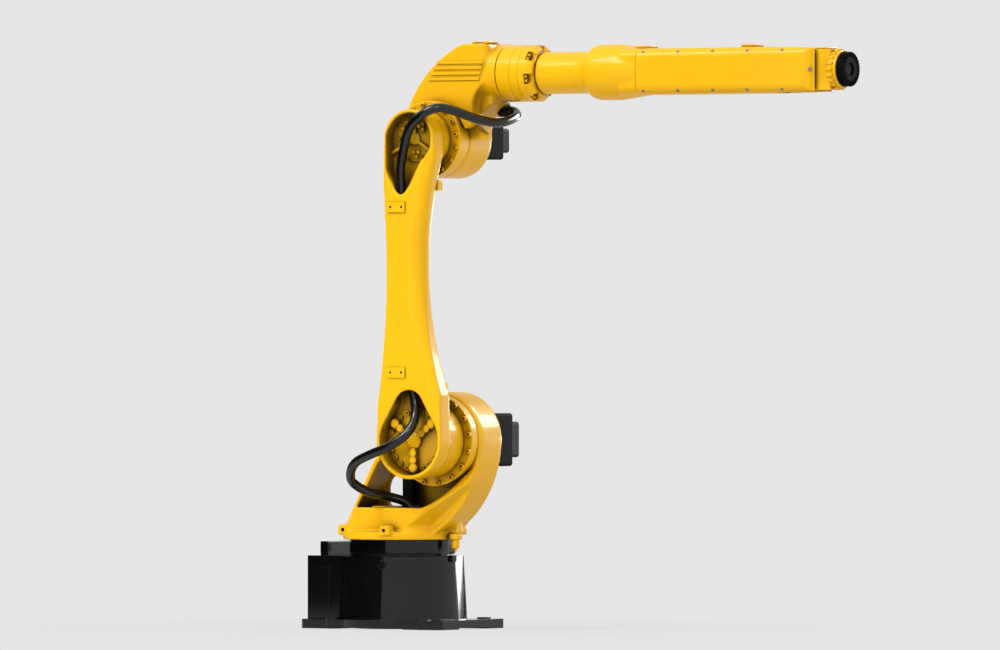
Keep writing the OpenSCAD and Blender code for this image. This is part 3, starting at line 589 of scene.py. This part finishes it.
for name, s in screwRings.items():
    places = ringPlaces(s["axle"] - s["out"] * mm * yAxis, xAxis, zAxis, s["radius"] * mm, s["count"],
                        s["start"], s["clearOf"], s["clearBy"])
    makeScrews(name, [(p, -yAxis) for p in places], s["head"], "yellowPaint", s["body"])

# painted shade: dark screw-shaped discs stand in for the shade inside the cable pads' holes
padHoleShade = {"x": 116, "y": -203, "half": 16, "heights": (628, 1031), "head": (2.9, 2.4)}
spots = []
for z in padHoleShade["heights"]:
    for side in (-1, 1):
        spots.append((Vector((padHoleShade["x"] + side * padHoleShade["half"], padHoleShade["y"], z)) * mm, -yAxis))
makeScrews("padHoleShade", spots, padHoleShade["head"], "flangeBlack", "lower_arm")

# painted shade: dark screw-shaped discs stand in for the shade inside the turret lugs' holes
lugHoleShade = {
    "turns": (-145, -73, 32, 73), "out": 140, "half": 13, "sunk": 1.2, "z": 241.5,
    "head": (4.0, 3.3),
}
spots = []
for turn in lugHoleShade["turns"]:
    side = 1 if turn > 0 else -1
    along = lugHoleShade["out"] * math.cos(math.radians(turn))
    across = lugHoleShade["out"] * math.sin(math.radians(turn)) + side * (lugHoleShade["half"] - lugHoleShade["sunk"])
    spots.append((Vector((along, across, lugHoleShade["z"])) * mm, side * yAxis))
makeScrews("lugHoleShade", spots, lugHoleShade["head"], "flangeBlack", "turret")

coverScrews = {
    "sides": {"nearCoverScrews": -1, "farCoverScrews": 1}, "head": (4.4, 3.4), "sunk": 1.5,
    "xs": (731, 830, 929, 1027, 1125), "up": 47, "out": 50, "lean": 40,  # two rows along the cover's edges
    "endX": 1204, "endOut": 51, "endTurn": 28,  # the one at the front end
}


def coverSpots(side, c):
    spots = []
    lean, turn = math.radians(c["lean"]), math.radians(c["endTurn"])
    for x in c["xs"]:
        for up in (-1, 1):
            axis = Vector((0, side * math.cos(lean), up * math.sin(lean)))
            spots.append((Vector((x, side * c["out"], rollHeight + up * c["up"])) * mm, axis))
    axis = Vector((math.sin(turn), side * math.cos(turn), 0))
    spots.append((Vector((c["endX"], side * c["endOut"], rollHeight)) * mm, axis))
    return [(place - c["sunk"] * mm * axis, axis) for place, axis in spots]


for name, side in coverScrews["sides"].items():
    makeScrews(name, coverSpots(side, coverScrews), coverScrews["head"], "steelScrew", "forearm")

motorScrews = {
    "shoulderMotorScrews": {"node": "shoulder_motor", "body": "turret", "inset": 11, "head": (4.6, 4)},
    "elbowMotorScrews": {"node": "elbow_motor", "body": "elbow", "inset": 11, "head": (4.6, 4)},
}
for name, m in motorScrews.items():
    node = m["node"]
    low, high = (Vector(c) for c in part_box(node))
    inset = m["inset"] * mm
    spots = []
    for x in (low.x + inset, high.x - inset):
        for z in (low.z + inset, high.z - inset):
            spots.append((Vector((x, high.y, z)), yAxis))
    makeScrews(name, spots, m["head"], "darkScrew", m["body"])

rearScrews = {
    "x": 333, "z": 1157, "radius": 295, "turns": (119, 134.5, 150),  # on the arc of the rear cover
    "out": 56, "sunk": 1, "head": (4.5, 3.5),
}
spots = []
for turn in rearScrews["turns"]:
    axis = Vector((math.cos(math.radians(turn)), 0, math.sin(math.radians(turn))))
    for side in (-1, 1):
        foot = Vector((rearScrews["x"], side * rearScrews["out"], rearScrews["z"])) * mm
        spots.append((foot + (rearScrews["radius"] - rearScrews["sunk"]) * mm * axis, axis))
makeScrews("rearCoverScrews", spots, rearScrews["head"], "steelScrew", "elbow")

flangeScrews = {"x": 396, "radius": 61, "spread": 5.5, "pockets": 7, "head": (4.4, 7)}
spots = []
for i in range(flangeScrews["pockets"]):
    for side in (-1, 1):
        a = 2 * math.pi * i / flangeScrews["pockets"] + math.radians(side * flangeScrews["spread"])
        out = flangeScrews["radius"] * mm
        place = Vector((flangeScrews["x"] * mm, -out * math.sin(a), rollZ + out * math.cos(a)))
        spots.append((place, xAxis))
makeScrews("forearmFlangeScrews", spots, flangeScrews["head"], "yellowPaint", "forearm")
print("stage: screws made")


# tool plate, wrist ring and flange seams

toolPlate = {
    "radii": (42, 39.5, 29, 15.75, 20),  # rim, step, inner face, bore and cap
    "x": (1272, 1280, 1288),  # back, floor of the bore and front
    "recess": 3.2, "edge": 1, "collar": 4, "lip": 0.6, "sunk": 0.3, "bevel": (0.4, 0.5),
    "teeth": 30, "stepsPerTooth": 6, "notchSteps": 2, "notch": 1.5,
    "screws": 20, "screwAt": 34.2, "screwRadius": 3.4, "screwGap": 0.2,
    "holes": 4, "holeAt": 25, "holeTurn": 45, "holeRadius": 3.2, "holeDepth": 0.6,
}


def toolPlateMesh(t):
    bm = bmesh.new()
    rim, step, inner, bore, cap = (r * mm for r in t["radii"])
    back, floor, front = (x * mm for x in t["x"])
    recess, edge, collar, lip, sunk = (t[key] * mm for key in ("recess", "edge", "collar", "lip", "sunk"))
    slope, inset = (b * mm for b in t["bevel"])
    low, face = front - recess, front - sunk
    rows = [(back, cap, 0), (back, rim - edge, 0), (back + edge, rim, 0), (back + collar, rim, 0),
            (back + collar + lip, rim, 1), (front - edge, rim, 1), (front, rim - edge, 1), (front, step, 0),
            (low, step - lip, 0), (low, inner + lip, 0), (face - slope, inner, 0), (face, inner - inset, 0),
            (face, bore + lip, 0), (face - lip, bore, 0), (floor, bore, 0), (floor, cap, 0), (back, cap, 0)]
    turns = circleTurns(t["teeth"] * t["stepsPerTooth"])
    rings = []
    for x, r, toothed in rows:
        ring = []
        for k, a in enumerate(turns):
            notched = toothed and k % t["stepsPerTooth"] < t["notchSteps"]
            cut = t["notch"] * mm if notched else 0
            ring.append(bm.verts.new((x, (r - cut) * math.cos(a), rollZ + (r - cut) * math.sin(a))))
        rings.append(ring)
    bridge(bm, rings)
    for p in ringPlaces((low, 0, rollZ), yAxis, zAxis, t["screwAt"] * mm, t["screws"]):
        screwInto(bm, p, xAxis, t["screwRadius"] * mm, recess - t["screwGap"] * mm)
    depth = t["holeDepth"] * mm
    middle = (front - depth, 0, rollZ)
    for p in ringPlaces(middle, yAxis, zAxis, t["holeAt"] * mm, t["holes"], t["holeTurn"]):
        screwInto(bm, p, xAxis, t["holeRadius"] * mm, depth)
    closeGaps(bm)
    return bm


wristRing = {
    "x": (1247.5, 1262, 1270), "radius": (45.5, 49.8), "edge": 1.5,
    "lobes": 20, "stepsPerLobe": 8, "steepness": 1.3,
    "rearCap": 0.9, "lobeEdge": 0.985, "frontEdge": 0.97, "frontCap": 0.2,  # shares of the radius
}


def lobedRing(w):
    bm = bmesh.new()
    back, step, front = (x * mm for x in w["x"])
    low, high = (r * mm for r in w["radius"])
    edge = w["edge"] * mm
    turns = circleTurns(w["lobes"] * w["stepsPerLobe"])
    waves = [min(max(0.5 + w["steepness"] * math.cos(w["lobes"] * a), 0), 1) for a in turns]
    lobed = [low + (high - low) * wave for wave in waves]
    plain = [low] * len(turns)
    rows = [(back, plain, w["rearCap"]), (back, lobed, w["lobeEdge"]), (back + edge, lobed, 1),
            (step - edge, lobed, 1), (step, lobed, w["lobeEdge"]), (step, plain, 1),
            (front - edge, plain, 1), (front, plain, w["frontEdge"]), (front, plain, w["frontCap"])]
    rings = []
    for x, radii, share in rows:
        rings.append([bm.verts.new((x, share * r * math.cos(a), rollZ + share * r * math.sin(a)))
                      for r, a in zip(radii, turns)])
    bridge(bm, rings)
    capEnds(bm, rings)
    bmesh.ops.recalc_face_normals(bm, faces=bm.faces)
    return bm


plate = makePiece("toolPlate", toolPlateMesh(toolPlate), "flangeBlack", "tool")
sharpen(plate, 30)
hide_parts("tool_flange")
ring = makePiece("lobedWristRing", lobedRing(wristRing), "yellowPaint", "wrist")
sharpen(ring, 30)
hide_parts("wrist_ring")

flangeSeams = {
    "xs": (354, 378), "radius": 69.0, "width": 0.9, "topShare": 0.7, "proud": 0.15, "sunk": 0.3,
    "sides": 96,
}


def seamMesh(f):
    bm = bmesh.new()
    half = 0.5 * f["width"]
    top = f["topShare"] * half
    low, high = f["radius"] - f["sunk"], f["radius"] + f["proud"]
    profile = [(low, -half), (high, -top), (high, top), (low, half), (low, -half)]
    for x in f["xs"]:
        place = Matrix.Translation((x * mm, 0, rollZ)) @ alongAxis(xAxis)
        ringsInto(bm, place, [(r * mm, z * mm) for r, z in profile], f["sides"])
    closeGaps(bm)
    return bm


makePiece("flangeSeams", seamMesh(flangeSeams), "seamShade", "forearm")
print("stage: tool plate, wrist ring and seams made")


# studio

studio = {
    "background": 0.791,
    "worldLight": 0.62,
    "floorSize": 60.0,
    "floorSteps": 12,
    "floorDrop": 0.0005,
    "floorTone": 0.6,
    "floorRough": 0.9,
    "floorShare": (0.85, 1.0),  # how far the floor takes the background's tone, under the object and far out
    "floorFade": (0.35, 1.4),  # from here to there, away from the turning axis
    "clothTone": 0.004,
    "flags": {
        "leftFlag": {"radius": 1.9, "from": -93, "to": -205, "height": 2.2},
        "backFlag": {"radius": 6.5, "from": 66, "to": 108, "height": 2.8},
    },
    "lamps": {
        "keyLamp": {"at": (-1.8, -3.6, 6.0), "aim": (0.4, 0, 0.8), "size": (2.4, 2.4), "watts": 225},
        "lowLamp": {"at": (0.9, 4.9, 0.5), "aim": (0.1, 0, 0.45), "size": (3.2, 0.55), "watts": 105,
                    "mirrorOnly": True},
        "highLamp": {"at": (2.6, 4.1, 3.7), "aim": (0.2, 0, 0.5), "size": (2.2, 3.6), "watts": 580,
                     "mirrorOnly": True},
        "fillLamp": {"at": (-1.3, -4.4, 0.5), "aim": (0.0, 0, 0.3), "size": (1.6, 0.8), "watts": 3.3,
                     "softOnly": True, "spread": 40},
        "sideLamp": {"at": (4.6, -1.6, 1.1), "aim": (0.2, 0, 0.7), "size": (2.0, 2.0), "watts": 24,
                     "softOnly": True},
        "glintLamp": {"at": (2.6, -3.4, 3.6), "aim": (0.6, 0, 1.0), "size": (0.5, 0.5), "watts": 30},
    },
}


def seenRay(tree):  # 1 for the camera, mirrors and glass
    path = tree.nodes.new("ShaderNodeLightPath")
    total = path.outputs["Is Camera Ray"]
    for name in ("Is Glossy Ray", "Is Transmission Ray"):
        add = tree.nodes.new("ShaderNodeMath")
        add.operation = "MAXIMUM"
        tree.links.new(total, add.inputs[0])
        tree.links.new(path.outputs[name], add.inputs[1])
        total = add.outputs["Value"]
    return total


def makeWorld(s):
    world = bpy.data.worlds.new("studioWorld")
    scene.world = world
    world.use_nodes = True
    tree = world.node_tree
    back = tree.nodes["Background"]
    seen = tree.nodes.new("ShaderNodeMix")
    seen.data_type = "FLOAT"
    tree.links.new(seenRay(tree), seen.inputs["Factor"])
    seen.inputs["A"].default_value = s["worldLight"]
    seen.inputs["B"].default_value = s["background"]
    back.inputs["Color"].default_value = (1, 1, 1, 1)
    tree.links.new(seen.outputs["Result"], back.inputs["Strength"])


def stageObject(name, bm, mat):
    mesh = bpy.data.meshes.new(name)
    bm.to_mesh(mesh)
    bm.free()
    mesh.materials.append(mat)
    obj = bpy.data.objects.new(name, mesh)
    scene.collection.objects.link(obj)
    return obj


def matte(shader, tone, rough):
    shader.inputs["Base Color"].default_value = (*grey(tone), 1)
    shader.inputs["Roughness"].default_value = rough
    shader.inputs["Specular IOR Level"].default_value = 0.0


def floorPaper(s):
    mat, tree, shader, coords = nodeTree("floorPaper")
    matte(shader, s["floorTone"], s["floorRough"])
    glow = tree.nodes.new("ShaderNodeEmission")
    glow.inputs["Color"].default_value = (1, 1, 1, 1)
    glow.inputs["Strength"].default_value = s["background"]
    away = tree.nodes.new("ShaderNodeVectorMath")
    away.operation = "LENGTH"
    tree.links.new(coords.outputs["Object"], away.inputs[0])
    fade = tree.nodes.new("ShaderNodeMapRange")
    fade.interpolation_type = "SMOOTHSTEP"
    fade.inputs["From Min"].default_value, fade.inputs["From Max"].default_value = s["floorFade"]
    fade.inputs["To Min"].default_value, fade.inputs["To Max"].default_value = s["floorShare"]
    tree.links.new(away.outputs["Value"], fade.inputs["Value"])
    share = tree.nodes.new("ShaderNodeMath")
    share.operation = "MULTIPLY"
    tree.links.new(seenRay(tree), share.inputs[0])
    tree.links.new(fade.outputs["Result"], share.inputs[1])
    mix = tree.nodes.new("ShaderNodeMixShader")
    tree.links.new(share.outputs["Value"], mix.inputs["Fac"])
    tree.links.new(shader.outputs["BSDF"], mix.inputs[1])
    tree.links.new(glow.outputs["Emission"], mix.inputs[2])
    tree.links.new(mix.outputs["Shader"], tree.nodes["Material Output"].inputs["Surface"])
    return mat


def makeFloor(s):
    bm = bmesh.new()
    half, steps = s["floorSize"] / 2, s["floorSteps"]
    marks = [half * (2 * i / steps - 1) for i in range(steps + 1)]
    grid = [[bm.verts.new((x, y, -s["floorDrop"])) for x in marks] for y in marks]
    for j in range(steps):
        for i in range(steps):
            bm.faces.new((grid[j][i], grid[j][i + 1], grid[j + 1][i + 1], grid[j + 1][i]))
    floor = stageObject("studioFloor", bm, floorPaper(s))


def makeFlag(name, f, tone, steps=16):
    bm = bmesh.new()
    turns = [math.radians(f["from"] + (f["to"] - f["from"]) * i / steps) for i in range(steps + 1)]
    low, high = [[bm.verts.new((f["radius"] * math.cos(a), f["radius"] * math.sin(a), z)) for a in turns]
                 for z in (0, f["height"])]
    for i in range(steps):
        bm.faces.new((low[i], low[i + 1], high[i + 1], high[i]))
    mat, _, shader, _ = nodeTree(name + "Cloth")
    matte(shader, tone, 1.0)
    flag = stageObject(name, bm, mat)
    flag.visible_camera = False  # only reflections see it
    flag.visible_diffuse = False
    flag.visible_shadow = False


def makeLamp(name, lamp):
    data = bpy.data.lights.new(name, "AREA")
    data.shape = "RECTANGLE"
    data.size, data.size_y = lamp["size"]
    data.energy = lamp["watts"]
    data.spread = math.radians(lamp.get("spread", 180))
    obj = bpy.data.objects.new(name, data)
    obj.location = lamp["at"]
    obj.rotation_euler = (Vector(lamp["aim"]) - Vector(lamp["at"])).to_track_quat("-Z", "Y").to_euler()
    obj.visible_diffuse = not lamp.get("mirrorOnly", False)  # seen only as a mirrored light
    obj.visible_glossy = not lamp.get("softOnly", False)  # never mirrored
    scene.collection.objects.link(obj)


makeWorld(studio)
makeFloor(studio)
for name, flag in studio["flags"].items():
    makeFlag(name, flag, studio["clothTone"])
for name, lamp in studio["lamps"].items():
    makeLamp(name, lamp)
print("stage: studio lit")
